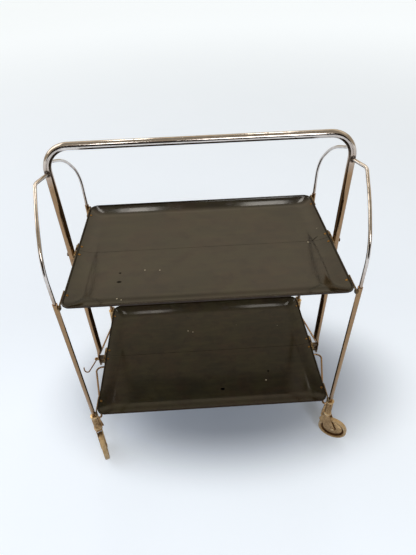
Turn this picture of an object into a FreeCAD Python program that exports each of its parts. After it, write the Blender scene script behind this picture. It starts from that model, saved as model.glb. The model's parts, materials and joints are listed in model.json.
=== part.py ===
import FreeCAD, Part
import math
import os

Vector = FreeCAD.Vector

# Folding tea trolley. Millimetres, +Z up, +X along the handle, origin on the floor under the middle.
# Every piece is drawn in the quarter x > 0, y > 0 and mirrored to its own corner.

# ---- driving dimensions -------------------------------------------------------------------------
handle_height = 750.0          # floor to the centre line of the handle bar
handle_above_rim = 237.0       # handle bar's centre line above the upper tray's rim
tube_diameter = 16.0
tube_wall = 1.5
handle_bend = 50.0             # centre-line radius of the two top bends

tray_length = 570.0
tray_depth = 382.0             # front leaf and rear leaf together
sheet = 1.2                    # tray sheet
rim_rise = 11.0                # how far the dished rim climbs below its lip
rim_run = 40.0                 # how far it leans out
rim_band = 12.0                # flat band along its upper edge, where the rivets sit
rim_steps = 4                  # facets between the floor and the band
lip_height = 3.0               # rolled lip on the rim
lip_width = 2.5
tray_corner = 20.0             # plan radius of the lip at a corner
floor_corner = 14.0            # plan radius of the flat floor at a corner
seam_gap = 1.5                 # between the two leaves
hem_depth = 6.0                # downturned hem along the seam
hem_setback = 2.0              # the hem stops this far short of the flare

rod_diameter = 7.0
rod_insertion = 110.0          # length of rod held inside the leg tube
leg_wall = 1.4
leg_inset = 6.0                # leg centre line, in from the tray's long edge
leg_above_rim = 5.0            # leg tube stands this far above the upper rim
leg_insertion = 19.0           # length of the leg tube inside its socket

hoop_tip_drop = 1.0            # rod tips, below the lower end of the handle's bends
hoop_tip_gap = 1.7             # between a rod's tip and the shank
hoop_knee_outset = 14.0        # the knee stands out this far from the shank
hoop_knee_y = 48.0             # and this far from the seam
hoop_shoulder_outset = 7.5     # the shoulder, from the leg's centre line
hoop_shoulder_inset = 64.0
hoop_shoulder_drop = 28.0      # below the tip
hoop_corner_drop = 92.0        # corner above the leg, below the tip
hoop_bends = (95.0, 150.0, 24.0)
hoop_hole_clearance = 0.75     # radial, rod tip in the shank's hole

pivot_beside_tongue = 4.0      # leaf pivots, beside the shank's flat tongue
inner_pivot_drop = 21.0        # below the rim
corner_pivot_drop = 5.0        # below the rim
pin_diameter = 4.5
pin_shoulder = 1.4             # how far a pin's shoulder stands out round it
head_diameter = 8.0
head_height = 1.5
rivet_diameter = 4.0

bracket_thickness = 1.5
bracket_margin = 8.0           # plate beyond the pivots
bracket_corner = 6.0
bracket_gap = 1.0              # between the lugs and the bracket
shank_gap = 2.3                # between the bracket and the round shank
lug_thickness = 1.8
lug_width = 16.0
lug_radius = 6.0
corner_lug_reach = 45.0        # the corner lug starts this far short of the leg
corner_rivet_reach = 35.0      # and its rivet sits this far short of it
corner_arm_drop = 1.0          # lower edge of the corner lug's arm below its pivot, clear of the link
rim_rivet_head = 6.0

flat_thickness = 5.0           # tongue: the pressed lower end of each shank
flat_width = 22.0
taper_length = 24.0
tongue_below_link = 4.0        # tongue's tip, below the link pivots
tongue_below_rim = 3.0         # top of the flat, below the lower rim
tongue_rivet_rise = 12.0       # lower rivet, above the tongue's tip
tongue_rivet_drop = 10.0       # upper rivet, below the top of the flat
shank_rivet_rise = 8.0         # upper bracket's rivet, above the leaf pivots
shank_rivet_diameter = 5.0
shank_rivet_head = 9.0
saddle_depth = 2.0             # upper spacers reach this far round the shank

link_diameter = 5.0
link_bow_gap = 10.0            # the links stand out this far from the tongue
link_end_gap = 8.0             # and pass in this far beside the socket
link_bends = (14.0, 4.5)       # beside the shank and beside the leg
link_socket_depth = 11.0       # link pivot, below the socket's top

socket_wall = 4.0
socket_ring_step = 0.75        # the top ring stands out this far
socket_ring_height = 4.0
lug_above_socket = 1.0         # between the socket's top and the corner lug
fin_reach = 6.0                # web on the socket's inner side
fin_thickness = 3.0

wheel_diameter = 72.0
wheel_headroom = 13.2          # between the wheel's top and the fork's crown
tread_width = 10.0
tread_depth = 4.5
tread_bevel = 1.5
wheel_web = 2.0
wheel_dish = 2.4               # the web leans in by this much between rim and hub
hub_diameter = 15.0
hub_proud = 1.0                # the hub stands out this far past the tread
axle_diameter = 6.0
axle_head = 10.0
trail = 22.0                   # axle behind the swivel axis
stem_diameter = 8.0
stem_length = 25.0             # inside the socket
stem_end_gap = 3.0             # between the stem and the leg tube
collar_diameter = 21.0
collar_height = 6.5
crown_height = 4.0
arm_thickness = 1.6
arm_top_radius = 15.0
arm_boss_radius = 7.5
arm_waist_drop = 18.2          # centre of the arm's broad top, below the crown

hook_diameter = 3.5            # storage hook beside the left shank
hook_ear = 9.0
hook_ear_thickness = 2.0
hook_ear_half_width = 5.0
hook_ear_gap = 0.5             # between the ear and the rivet head below it
hook_pivot_y = 4.0
hook_forward = 42.0

seat_clearance = 0.3           # pieces that rest beside each other
side_clearance = 0.2           # each side of a part that turns between two faces
running_clearance = 0.05       # radial, pin in its hole
slide_clearance = 0.1          # radial, rod in its leg tube

# direction in which each caster trails, as (x, y)
left_front_trail = (0.35, -math.sqrt(1 - 0.35 ** 2))
right_front_trail = (0.87, -math.sqrt(1 - 0.87 ** 2))
left_rear_trail = (-left_front_trail[0], -left_front_trail[1])
right_rear_trail = (-right_front_trail[0], -right_front_trail[1])

# ---- worked out from them: across the trolley -----------------------------------------------------
tube_radius = tube_diameter / 2
tray_half = tray_length / 2
tray_half_depth = tray_depth / 2
pin_radius = pin_diameter / 2
head_radius = head_diameter / 2
rod_radius = rod_diameter / 2
rod_bore = rod_radius + slide_clearance
leg_radius = rod_bore + leg_wall
socket_radius = leg_radius + socket_wall
ring_radius = socket_radius + socket_ring_step

lug_inner_face = tray_half + 2 * side_clearance
lug_outer_face = lug_inner_face + lug_thickness
bracket_inner_face = lug_outer_face + bracket_gap
bracket_outer_face = bracket_inner_face + bracket_thickness
shank_inner_face = bracket_outer_face + shank_gap
shank_x = shank_inner_face + tube_radius
flat_outer_face = shank_x + tube_radius
flat_inner_face = flat_outer_face - flat_thickness
flat_x = flat_outer_face - flat_thickness / 2

leg_x = lug_outer_face + 4 * side_clearance + leg_radius
leg_y = tray_half_depth - leg_inset
corner_lug_start = leg_y - corner_lug_reach
corner_lug_rivet = leg_y - corner_rivet_reach
inner_pivot_y = flat_width / 2 + pivot_beside_tongue
bracket_half_width = inner_pivot_y + bracket_margin
link_bow_x = flat_outer_face + link_bow_gap
link_end_x = leg_x - socket_radius - link_end_gap

# ---- worked out from them: heights, from the floor up ---------------------------------------------
wheel_radius = wheel_diameter / 2
hub_radius = hub_diameter / 2
hub_width = tread_width + 2 * hub_proud
crown_bottom = wheel_diameter + wheel_headroom
arm_waist_height = crown_bottom - arm_waist_drop
socket_bottom = crown_bottom + crown_height + collar_height + seat_clearance
leg_foot = socket_bottom + stem_length + stem_end_gap
socket_top = leg_foot + leg_insertion
fin_top = socket_top - socket_ring_height

link_outer_pivot = socket_top - link_socket_depth
lower_corner_pivot = socket_top + lug_above_socket + lug_radius
link_drop = lower_corner_pivot - link_outer_pivot
lower_rim_height = lower_corner_pivot + corner_pivot_drop
lower_inner_pivot = lower_rim_height - inner_pivot_drop
link_inner_pivot = lower_inner_pivot - link_drop
flat_top = lower_rim_height - tongue_below_rim
flat_bottom = link_inner_pivot - tongue_below_link
lower_rivet = flat_bottom + tongue_rivet_rise
middle_rivet = flat_top - tongue_rivet_drop
hook_height = lower_rivet + shank_rivet_head / 2 + hook_ear_gap + hook_ear_thickness / 2

upper_rim_height = handle_height - handle_above_rim
upper_inner_pivot = upper_rim_height - inner_pivot_drop
upper_corner_pivot = upper_rim_height - corner_pivot_drop
upper_rivet = upper_inner_pivot + shank_rivet_rise
leg_top = upper_rim_height + leg_above_rim
hoop_tip_height = handle_height - handle_bend - hoop_tip_drop

band_start = 1 - rim_band / rim_run                # as a share of the rim's run
band_rise = rim_rise * (1 + band_start ** 2) / 2   # middle of the band, above the tray's underside
rim_angle = math.atan2(rim_rise * (1 + band_start), rim_run)
rivet_x = tray_half - rim_band / 2
corners = {
    "left_front": (-1, -1, left_front_trail),
    "right_front": (1, -1, right_front_trail),
    "left_rear": (-1, 1, left_rear_trail),
    "right_rear": (1, 1, right_rear_trail),
}

os.makedirs("parts", exist_ok=True)


# ---- small helpers ------------------------------------------------------------------------------
def save(name, *solids):
    """Writes one node; several solids go in as a group."""
    shape = solids[0] if len(solids) == 1 else Part.makeCompound(list(solids))
    if not shape.isValid():
        print("not valid:", name)
    shape.exportStep("parts/" + name + ".step")


def box(low, high):
    size = high - low
    return Part.makeBox(size.x, size.y, size.z, low)


def rod_x(radius, start, end, y, z):
    """A cylinder along X."""
    return Part.makeCylinder(radius, end - start, Vector(start, y, z), Vector(1, 0, 0))


def rod_y(radius, start, end, x, z):
    return Part.makeCylinder(radius, end - start, Vector(x, start, z), Vector(0, 1, 0))


def rod_z(radius, bottom, top, x=0.0, y=0.0):
    return Part.makeCylinder(radius, top - bottom, Vector(x, y, bottom), Vector(0, 0, 1))


def fuse(first, *others):
    shape = first.fuse(list(others)).removeSplitter()
    return shape.Solids[0] if len(shape.Solids) == 1 else shape


def cut(shape, *tools):
    shape = shape.cut(list(tools))
    return shape.Solids[0] if len(shape.Solids) == 1 else shape


def to_corner(shape, side, end):
    """Mirrors a shape from the quarter x > 0, y > 0 to another quarter."""
    if side < 0:
        shape = shape.mirror(Vector(0, 0, 0), Vector(1, 0, 0))
    if end < 0:
        shape = shape.mirror(Vector(0, 0, 0), Vector(0, 1, 0))
    return shape


def bent_path(points, radii):
    """Straight runs joined by tangent arcs, as one wire; short runs make their arcs smaller."""
    half_turns = [
        (math.pi - (before - corner).getAngle(after - corner)) / 2
        for before, corner, after in zip(points, points[1:], points[2:])
    ]
    wanted = [0.0, *[radius * math.tan(turn) for radius, turn in zip(radii, half_turns)], 0.0]
    shares = [
        min(1.0, 0.95 * (after - before).Length / (first + second))
        for before, after, first, second in zip(points, points[1:], wanted, wanted[1:])
    ]
    edges = []
    start = points[0]
    for i, half_turn in enumerate(half_turns):
        corner = points[i + 1]
        back = (points[i] - corner).normalize()
        on = (points[i + 2] - corner).normalize()
        tangent = wanted[i + 1] * min(shares[i], shares[i + 1])
        radius = tangent / math.tan(half_turn)
        middle = (back + on).normalize()
        arc_start = corner + back * tangent
        arc_end = corner + on * tangent
        arc_middle = corner + middle * (radius / math.cos(half_turn) - radius)
        edges.append(Part.LineSegment(start, arc_start).toShape())
        edges.append(Part.Arc(arc_start, arc_middle, arc_end).toShape())
        start = arc_end
    edges.append(Part.LineSegment(start, points[-1]).toShape())
    return Part.Wire(edges)


def along(path, points, radius):
    """A round bar of this radius along a path that starts at points[0]."""
    circle = Part.makeCircle(radius, points[0], points[1] - points[0])
    return path.makePipeShell([Part.Wire([circle])], True, False)


def bent_rod(points, radii, radius):
    return along(bent_path(points, radii), points, radius)


def rounded_rectangle(half_x, half_y, radius, z):
    """A closed outline with its centre on the Z axis."""
    cx = half_x - radius
    cy = half_y - radius
    slope = radius * math.sqrt(0.5)
    edges = []
    for sx, sy in ((1, 1), (-1, 1), (-1, -1), (1, -1)):
        ends = [Vector(sx * half_x, sy * cy, z), Vector(sx * cx, sy * half_y, z)]
        if sx * sy < 0:
            ends.reverse()
        middle = Vector(sx * (cx + slope), sy * (cy + slope), z)
        edges.append(Part.Arc(ends[0], middle, ends[1]).toShape())
    joined = []
    for edge, following in zip(edges, edges[1:] + edges[:1]):
        joined.append(edge)
        leave = edge.valueAt(edge.LastParameter)
        arrive = following.valueAt(following.FirstParameter)
        joined.append(Part.LineSegment(leave, arrive).toShape())
    return Part.Wire(joined)


def prism(outline, direction):
    return Part.Face(outline).extrude(direction)


def polygon_along_y(points, y0, y1):
    """A prism with (x, z) points, from y0 to y1."""
    corners_3d = [Vector(x, y0, z) for x, z in points]
    outline = Part.makePolygon(corners_3d + corners_3d[:1])
    return prism(outline, Vector(0, y1 - y0, 0))


def revolved(points, centre, axis, side):
    """Turns (distance along axis, radius) points about an axis through centre."""
    at = [centre + axis * along_axis + side * radius for along_axis, radius in points]
    return Part.Face(Part.makePolygon(at + at[:1])).revolve(centre, axis, 360)


# ---- handle frame -------------------------------------------------------------------------------
def make_handle():
    taper_top = flat_top + taper_length
    path_points = [
        Vector(-shank_x, 0, taper_top),
        Vector(-shank_x, 0, handle_height),
        Vector(shank_x, 0, handle_height),
        Vector(shank_x, 0, taper_top),
    ]
    path = bent_path(path_points, (handle_bend, handle_bend))
    outer = along(path, path_points, tube_radius)
    inner = along(path, path_points, tube_radius - tube_wall)
    tube = cut(outer, inner)
    taper = make_taper(taper_top)
    ends = [taper, to_corner(taper, -1, 1)]
    tube = fuse(tube, *ends)
    hoop_hole = rod_radius + hoop_hole_clearance
    rivet_hole = shank_rivet_diameter / 2
    reach = tube_radius + 1
    holes = []
    for x in (-shank_x, shank_x):
        holes.append(rod_y(hoop_hole, -reach, reach, x, hoop_tip_height))
        for z in (upper_rivet, middle_rivet, lower_rivet):
            holes.append(rod_x(rivet_hole, x - reach, x + reach, 0, z))
    return cut(tube, *holes)


def make_taper(taper_top):
    """The shank's lower end: round tube pressed flat, then a flat tongue."""
    def section(centre_x, z, half_x, half_y):
        if half_x == half_y:
            curve = Part.Circle(Vector(centre_x, 0, z), Vector(0, 0, 1), half_x)
        else:
            ends = [Vector(centre_x, half_y, z), Vector(centre_x + half_x, 0, z)]
            curve = Part.Ellipse(*ends, Vector(centre_x, 0, z))
        return Part.Wire([curve.toShape()])

    def loft(inset):
        radius = tube_radius - inset
        wires = [
            section(shank_x, taper_top + 0.5, radius, radius),
            section(shank_x, taper_top, radius, radius),
            section(flat_x, flat_top, flat_thickness / 2 - inset * 0.6, flat_width / 2 - inset),
        ]
        return Part.makeLoft(wires, True, True)

    tongue = box(
        Vector(flat_inner_face, -flat_width / 2, flat_bottom + flat_width / 2),
        Vector(flat_outer_face, flat_width / 2, flat_top + 2),
    )
    tip = rod_x(flat_width / 2, flat_inner_face, flat_outer_face, 0, flat_bottom + flat_width / 2)
    hollow = loft(tube_wall)
    return fuse(cut(loft(0.0), hollow), tongue, tip)


def make_bracket(low, high, holes, rivets):
    """A plate between a shank and the tray, with round corners."""
    half = bracket_half_width
    radius = bracket_corner
    near = bracket_inner_face
    far = bracket_outer_face
    plate = fuse(
        box(Vector(near, -half, low + radius), Vector(far, half, high - radius)),
        box(Vector(near, radius - half, low), Vector(far, half - radius, high)),
        *[
            rod_x(radius, near, far, sy * (half - radius), z)
            for sy in (-1, 1)
            for z in (low + radius, high - radius)
        ],
    )
    drills = [rod_x(bore, near - 1, far + 1, y, z) for y, z, bore in holes]
    drills += [rod_x(shank_rivet_diameter / 2, near - 1, far + 1, 0, z) for z in rivets]
    return cut(plate, *drills)


def make_shank_rivet(z, outer_face):
    """Rivet through bracket, spacer and shank, with a head at each end."""
    inner = bracket_inner_face
    return fuse(
        rod_x(shank_rivet_diameter / 2, inner - head_height, outer_face + head_height, 0, z),
        rod_x(shank_rivet_head / 2, outer_face, outer_face + head_height, 0, z),
        rod_x(shank_rivet_head / 2 - 1, inner - head_height, inner, 0, z),
    )


def make_spacer(z, reach):
    """Bush between bracket and shank; where the shank is round it has a saddle."""
    bush = cut(
        rod_x(shank_rivet_head / 2 + 1, bracket_outer_face, reach, 0, z),
        rod_x(shank_rivet_diameter / 2, bracket_outer_face - 1, reach + 1, 0, z),
    )
    if reach > shank_inner_face and z > flat_top:
        bush = cut(bush, rod_z(tube_radius, z - 20, z + 20, shank_x, 0))
    return bush


def make_leaf_pin(y, z):
    """Shouldered pivot pin riveted in the bracket; the leaf's lug turns on it."""
    shoulder = lug_outer_face + side_clearance
    head = lug_inner_face - side_clearance
    return fuse(
        rod_x(pin_radius, head, bracket_outer_face, y, z),
        rod_x(head_radius, head - head_height, head, y, z),
        rod_x(pin_radius + pin_shoulder, shoulder, bracket_inner_face, y, z),
        rod_x(pin_radius + pin_shoulder, bracket_outer_face, bracket_outer_face + head_height, y, z),
    )


# ---- tray leaves --------------------------------------------------------------------------------
def rim_profile(inset):
    """(outset, rise) points up the dished rim, this far above its underside."""
    shares = [*[band_start * i / rim_steps for i in range(rim_steps + 1)], 1]
    points = [(rim_run * share, rim_rise * share ** 2) for share in shares]
    slopes = [math.atan2(z1 - z0, x1 - x0) for (x0, z0), (x1, z1) in zip(points, points[1:])]
    profile = []
    for (outset, rise), before, after in zip(points, [0.0, *slopes], [*slopes, slopes[-1]]):
        turn = (after - before) / 2
        reach = inset / math.cos(turn)
        lean = before + turn
        profile.append((outset - reach * math.sin(lean), rise + reach * math.cos(lean)))
    return profile


def dish(bottom, inset):
    """What lies inside the rim's underside, or inside its upper side when inset by the sheet."""
    rings = []
    for outset, rise in rim_profile(inset):
        corner = floor_corner + (tray_corner - floor_corner) * outset / rim_run
        half_x = tray_half - rim_run + outset
        half_y = tray_half_depth - rim_run + outset
        rings.append(rounded_rectangle(half_x, half_y, corner, bottom + rise))
    return Part.makeLoft(rings, True, True)


def make_leaf(rim_height):
    """Rear leaf of a tray: flat floor, dished rim on three sides, rolled lip, hem at the seam."""
    bottom = rim_height - lip_height - rim_rise
    flare_top = rim_height - lip_height
    floor_x = tray_half - rim_run
    lip_x = tray_half - lip_width
    lip_y = tray_half_depth - lip_width
    lip_outside = rounded_rectangle(tray_half, tray_half_depth, tray_corner, flare_top)
    lip_inside = rounded_rectangle(lip_x, lip_y, tray_corner - lip_width, flare_top - 1)
    lip = cut(
        prism(lip_outside, Vector(0, 0, lip_height)),
        prism(lip_inside, Vector(0, 0, lip_height + 2)),
    )
    tray = fuse(cut(dish(bottom, 0.0), dish(bottom, sheet)), lip)
    half_gap = seam_gap / 2
    keep = box(
        Vector(-tray_half - 1, half_gap, bottom - 1),
        Vector(tray_half + 1, tray_half_depth + 1, rim_height + 1),
    )
    hem = box(
        Vector(hem_setback - floor_x, half_gap, bottom - hem_depth),
        Vector(floor_x - hem_setback, half_gap + sheet, bottom + sheet / 2),
    )
    leaf = fuse(tray.common(keep), hem)
    holes = [
        to_corner(rim_rivet_shank(rim_height, y, rivet_diameter / 2), side, 1)
        for side in (-1, 1)
        for y in (inner_pivot_y, corner_lug_rivet)
    ]
    return cut(leaf, *holes)


def rim_frame(rim_height):
    """A point on the underside of the flat band where the rivets sit, and the band's upward normal."""
    z = rim_height - lip_height - rim_rise + band_rise
    return Vector(rivet_x, 0, z), Vector(-math.sin(rim_angle), 0, math.cos(rim_angle))


def rim_rivet_shank(rim_height, y, radius):
    point, normal = rim_frame(rim_height)
    start = point + Vector(0, y, 0) - normal * lug_thickness
    return Part.makeCylinder(radius, lug_thickness + sheet, start, normal)


def make_rim_rivet(rim_height, y):
    point, normal = rim_frame(rim_height)
    top = point + Vector(0, y, 0) + normal * sheet
    bottom = point + Vector(0, y, 0) - normal * lug_thickness
    return fuse(
        rim_rivet_shank(rim_height, y, rivet_diameter / 2),
        Part.makeCylinder(rim_rivet_head / 2, head_height - 0.3, top, normal),
        Part.makeCylinder(rim_rivet_head / 2 - 0.5, head_height - 0.5, bottom, normal * -1),
    )


def lug_strip(rim_height, y0, y1, low):
    """Sheet that lies under the rim's flat band and turns into an upright plate beside the lip."""
    thickness_up = lug_thickness / math.cos(rim_angle)
    start = tray_half - rim_band
    seat = rim_frame(rim_height)[0]

    def under(x):
        return seat.z + (x - seat.x) * math.tan(rim_angle)

    points = [
        (start, under(start)),
        (lug_inner_face, under(lug_inner_face)),
        (lug_inner_face, rim_height),
        (lug_outer_face, rim_height),
        (lug_outer_face, low),
        (lug_inner_face, low),
        (lug_inner_face, under(lug_inner_face) - thickness_up),
        (start, under(start) - thickness_up),
    ]
    return polygon_along_y(points, y0, y1)


def make_inner_lug(rim_height, pivot_z):
    y0 = inner_pivot_y - lug_width / 2
    y1 = inner_pivot_y + lug_width / 2
    bore = pin_radius + running_clearance
    lug = fuse(
        lug_strip(rim_height, y0, y1, pivot_z),
        rod_x(lug_width / 2, lug_inner_face, lug_outer_face, inner_pivot_y, pivot_z),
    )
    return cut(
        lug,
        rod_x(bore, lug_inner_face - 1, lug_outer_face + 1, inner_pivot_y, pivot_z),
        rim_rivet_shank(rim_height, inner_pivot_y, rivet_diameter / 2),
    )


def make_corner_lug(rim_height, pivot_z):
    strip_end = corner_lug_rivet + lug_width / 2
    bore = pin_radius + running_clearance
    arm = box(
        Vector(lug_inner_face, corner_lug_start, pivot_z - corner_arm_drop),
        Vector(lug_outer_face, leg_y, pivot_z + corner_pivot_drop),
    )
    lug = fuse(
        lug_strip(rim_height, corner_lug_start, strip_end, pivot_z - corner_arm_drop),
        arm,
        rod_x(lug_radius, lug_inner_face, lug_outer_face, leg_y, pivot_z),
    )
    return cut(
        lug,
        rod_x(bore, lug_inner_face - 1, lug_outer_face + 1, leg_y, pivot_z),
        rim_rivet_shank(rim_height, corner_lug_rivet, rivet_diameter / 2),
    )


# ---- legs, stay rods and links ------------------------------------------------------------------
def make_leg():
    tube = cut(
        rod_z(leg_radius, leg_foot, leg_top, leg_x, leg_y),
        rod_z(rod_bore, leg_foot - 1, leg_top + 1, leg_x, leg_y),
    )
    return cut(tube, link_hole())


def link_hole():
    radius = link_diameter / 2 + running_clearance
    reach = socket_radius + fin_reach + 1
    return rod_x(radius, leg_x - reach, leg_x + reach, leg_y, link_outer_pivot)


def make_stud(z):
    """Pivot stud brazed to the leg's inner side; the leaf's corner lug turns on it."""
    shoulder = lug_outer_face + side_clearance
    head = lug_inner_face - side_clearance
    stud = fuse(
        rod_x(pin_radius, head, leg_x - leg_radius + 1, leg_y, z),
        rod_x(head_radius, head - head_height, head, leg_y, z),
        rod_x(pin_radius + pin_shoulder, shoulder, leg_x - leg_radius + 1, leg_y, z),
    )
    return cut(stud, rod_z(leg_radius, z - 20, z + 20, leg_x, leg_y))


def make_hoop():
    """Stay rod: stands in the leg tube, arches over the tray and ends at the shank."""
    shoulder_x = leg_x + hoop_shoulder_outset
    shoulder_y = leg_y - hoop_shoulder_inset
    points = [
        Vector(leg_x, leg_y, leg_top - rod_insertion),
        Vector(leg_x, leg_y, hoop_tip_height - hoop_corner_drop),
        Vector(shoulder_x, shoulder_y, hoop_tip_height - hoop_shoulder_drop),
        Vector(shank_x + hoop_knee_outset, hoop_knee_y, hoop_tip_height),
        Vector(shank_x, tube_radius + hoop_tip_gap, hoop_tip_height),
    ]
    return bent_rod(points, hoop_bends, rod_radius)


def make_link():
    """Lower link: a rod whose two cranked ends are its own pivot pins."""
    inner = Vector(bracket_inner_face - head_height, inner_pivot_y, link_inner_pivot)
    outer = Vector(leg_x + leg_radius, leg_y, link_outer_pivot)
    points = [
        inner,
        Vector(link_bow_x, inner.y, inner.z),
        Vector(link_end_x, outer.y, outer.z),
        outer,
    ]
    radius = link_diameter / 2
    rod = bent_rod(points, link_bends, radius)
    cap = rod_x(radius + 1.5, inner.x - head_height, inner.x, inner.y, inner.z)
    collar = rod_x(
        radius + 1.2, bracket_outer_face + side_clearance, bracket_outer_face + 1.5, inner.y, inner.z
    )
    return fuse(rod, cap, collar)


def make_socket():
    body = fuse(
        rod_z(socket_radius, socket_bottom, socket_top, leg_x, leg_y),
        rod_z(ring_radius, fin_top, socket_top, leg_x, leg_y),
        polygon_along_y(
            [
                (leg_x - socket_radius + 1, fin_top),
                (leg_x - socket_radius + 1, socket_bottom),
                (leg_x - socket_radius - fin_reach, socket_bottom),
            ],
            leg_y - fin_thickness / 2,
            leg_y + fin_thickness / 2,
        ),
    )
    stem_bore = stem_diameter / 2 + running_clearance
    return cut(
        body,
        rod_z(leg_radius, leg_foot, socket_top + 1, leg_x, leg_y),
        rod_z(stem_bore, socket_bottom - 1, socket_bottom + stem_length + 1, leg_x, leg_y),
        link_hole(),
    )


# ---- casters: drawn with the swivel axis on Z and the wheel trailing along +X ---------------------
def make_stem():
    collar_bottom = crown_bottom + crown_height
    return fuse(
        rod_z(stem_diameter / 2, crown_bottom - head_height, socket_bottom + stem_length),
        rod_z(collar_diameter / 2, collar_bottom, collar_bottom + collar_height),
        rod_z(stem_diameter / 2 + 1, crown_bottom - head_height, crown_bottom),
    )


def make_fork():
    inner_face = hub_width / 2 + seat_clearance
    arms = [make_arm(inner_face), make_arm(-inner_face - arm_thickness)]
    crown = rod_z(collar_diameter / 2, crown_bottom, crown_bottom + crown_height)
    fork = fuse(crown, *arms)
    return cut(
        fork,
        rod_z(stem_diameter / 2, crown_bottom - 1, crown_bottom + crown_height + 1),
        rod_y(axle_diameter / 2, -hub_width, hub_width, trail, wheel_radius),
    )


def make_arm(face):
    """One petal-shaped side of the fork: broad under the crown, narrow at the axle."""
    top = (0.0, arm_waist_height)
    boss = (trail, wheel_radius)
    span = math.hypot(boss[0] - top[0], boss[1] - top[1])
    run = math.atan2(boss[1] - top[1], boss[0] - top[0])
    lean = math.acos((arm_top_radius - arm_boss_radius) / span)
    outline = []
    for turn in (lean, -lean):
        for centre, radius in ((top, arm_top_radius), (boss, arm_boss_radius)):
            outline.append(
                (centre[0] + radius * math.cos(run + turn), centre[1] + radius * math.sin(run + turn))
            )
    quad = [outline[0], outline[1], outline[3], outline[2]]
    end = face + arm_thickness
    neck = collar_diameter / 2 - 2
    return fuse(
        polygon_along_y(quad, face, end),
        rod_y(arm_top_radius, face, end, *top),
        rod_y(arm_boss_radius, face, end, *boss),
        box(Vector(-neck, face, arm_waist_height), Vector(neck, end, crown_bottom + 1)),
    )


def make_axle():
    reach = hub_width / 2 + seat_clearance + arm_thickness
    return fuse(
        rod_y(axle_diameter / 2, -reach, reach, trail, wheel_radius),
        rod_y(axle_head / 2, reach, reach + head_height, trail, wheel_radius),
        rod_y(axle_head / 2, -reach - head_height, -reach, trail, wheel_radius),
    )


def make_wheel():
    """Pressed disc wheel: hub, dished web on each side of the middle, and a seat for the tread."""
    seat = wheel_radius - tread_depth
    half_hub = hub_width / 2
    half_rim = tread_width / 2 - 1
    bore = axle_diameter / 2 + running_clearance
    near = wheel_web / 2
    profile = [
        (-half_hub, bore),
        (half_hub, bore),
        (half_hub, hub_radius),
        (near - wheel_dish / 2, hub_radius + 1.5),
        (near + wheel_dish / 2, seat - 3),
        (half_rim, seat - 2),
        (half_rim, seat),
        (-half_rim, seat),
        (-half_rim, seat - 2),
        (wheel_dish / 2 - near, seat - 3),
        (-near - wheel_dish / 2, hub_radius + 1.5),
        (-half_hub, hub_radius),
    ]
    return revolved(profile, Vector(trail, 0, wheel_radius), Vector(0, 1, 0), Vector(0, 0, 1))


def make_tread():
    half = tread_width / 2
    seat = wheel_radius - tread_depth
    profile = [
        (-half, seat),
        (half, seat),
        (half, wheel_radius - tread_bevel),
        (half - tread_bevel, wheel_radius),
        (tread_bevel - half, wheel_radius),
        (-half, wheel_radius - tread_bevel),
    ]
    return revolved(profile, Vector(trail, 0, wheel_radius), Vector(0, 1, 0), Vector(0, 0, 1))


def place_caster(shape, side, end, direction):
    shape = shape.copy()
    shape.rotate(Vector(0, 0, 0), Vector(0, 0, 1), math.degrees(math.atan2(direction[1], direction[0])))
    shape.translate(Vector(side * leg_x, end * leg_y, 0))
    return shape


def caster_reach(direction):
    """How far the right front wheel stands out along +X, which the hook matches on the other side."""
    half_tread = tread_width / 2 - tread_bevel
    return leg_x + (trail + wheel_radius) * direction[0] + half_tread * abs(direction[1])


# ---- storage hook on the left shank ---------------------------------------------------------------
def make_hook_ear():
    """Ear riveted on the outer face of the left shank's tongue; the hook hangs in its hole."""
    low = hook_height - hook_ear_thickness / 2
    high = low + hook_ear_thickness
    x = -flat_outer_face - hook_ear
    y = hook_pivot_y
    half = hook_ear_half_width
    bore = hook_diameter / 2 + running_clearance
    ear = fuse(
        box(Vector(x, y - half, low), Vector(-flat_outer_face, y + half, high)),
        rod_z(half, low, high, x, y),
    )
    return cut(ear, rod_z(bore, low - 1, high + 1, x, y))


def make_hook():
    """Wire hook: its cranked end turns in the ear, its tip is turned up."""
    pivot_x = -flat_outer_face - hook_ear
    radius = hook_diameter / 2
    tip_x = radius - caster_reach(right_front_trail)
    below = hook_height - hook_ear_thickness / 2 - radius - seat_clearance
    points = [
        Vector(pivot_x, hook_pivot_y, hook_height + 5),
        Vector(pivot_x, hook_pivot_y, below),
        Vector(tip_x + 10, -hook_forward, below),
        Vector(tip_x, -hook_forward + 6, below + 3),
        Vector(tip_x, -hook_forward + 8, below + 14),
    ]
    rod = bent_rod(points, (radius + 0.6, 6.0, 5.0), radius)
    cap_low = hook_height + hook_ear_thickness / 2 + seat_clearance
    cap = rod_z(radius + 1.2, cap_low, cap_low + 1.5, pivot_x, hook_pivot_y)
    return fuse(rod, cap)


# ---- build every node -----------------------------------------------------------------------------
save("handle_tube", make_handle())

upper_bracket = make_bracket(
    upper_inner_pivot - bracket_margin,
    upper_rim_height - 1,
    [(sy * inner_pivot_y, upper_inner_pivot, pin_radius) for sy in (-1, 1)],
    [upper_rivet],
)
link_bore = link_diameter / 2 + running_clearance
lower_bracket = make_bracket(
    link_inner_pivot - bracket_margin,
    lower_rim_height,
    [(sy * inner_pivot_y, lower_inner_pivot, pin_radius) for sy in (-1, 1)]
    + [(sy * inner_pivot_y, link_inner_pivot, link_bore) for sy in (-1, 1)],
    [middle_rivet, lower_rivet],
)
save("upper_brackets", *[to_corner(upper_bracket, side, 1) for side in (-1, 1)])
save("lower_brackets", *[to_corner(lower_bracket, side, 1) for side in (-1, 1)])

shank_rivets = [make_shank_rivet(upper_rivet, shank_x + tube_radius)]
shank_rivets += [make_shank_rivet(z, flat_outer_face) for z in (lower_rivet, middle_rivet)]
save("shank_rivets", *[to_corner(rivet, side, 1) for side in (-1, 1) for rivet in shank_rivets])

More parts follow.
